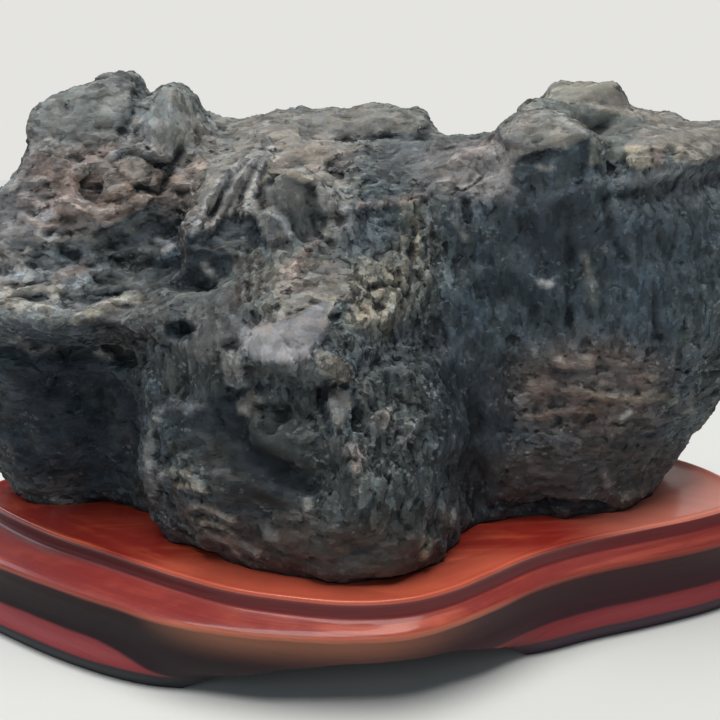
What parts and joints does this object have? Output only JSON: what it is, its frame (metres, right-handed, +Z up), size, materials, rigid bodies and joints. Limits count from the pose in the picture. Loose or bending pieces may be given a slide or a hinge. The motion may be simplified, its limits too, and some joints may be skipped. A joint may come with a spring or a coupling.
{
  "type": "scholars rock",
  "caption": "Dark weathered scholar's rock with folded crags and a bulging front, seated in a low carved hardwood stand with stepped moulding and feet.",
  "frame": {"origin": "on the table, under the middle of the object's box", "axes": "+X to the right-hand end and along the length, -Y towards the front, +Z up"},
  "size_m": [0.389, 0.2072, 0.243],
  "materials": {
    "dark_stone": "rough natural stone, blue-black in its hollows and grey to tan on its ridges, with a faint oiled sheen",
    "lacquered_hardwood": "glossy red-brown lacquer over streaked hardwood, with dark painted hollows between the mouldings"
  },
  "bodies": {
    "root": {"scholars_rock": "dark_stone", "carved_stand": "lacquered_hardwood"}
  },
  "joints": []
}
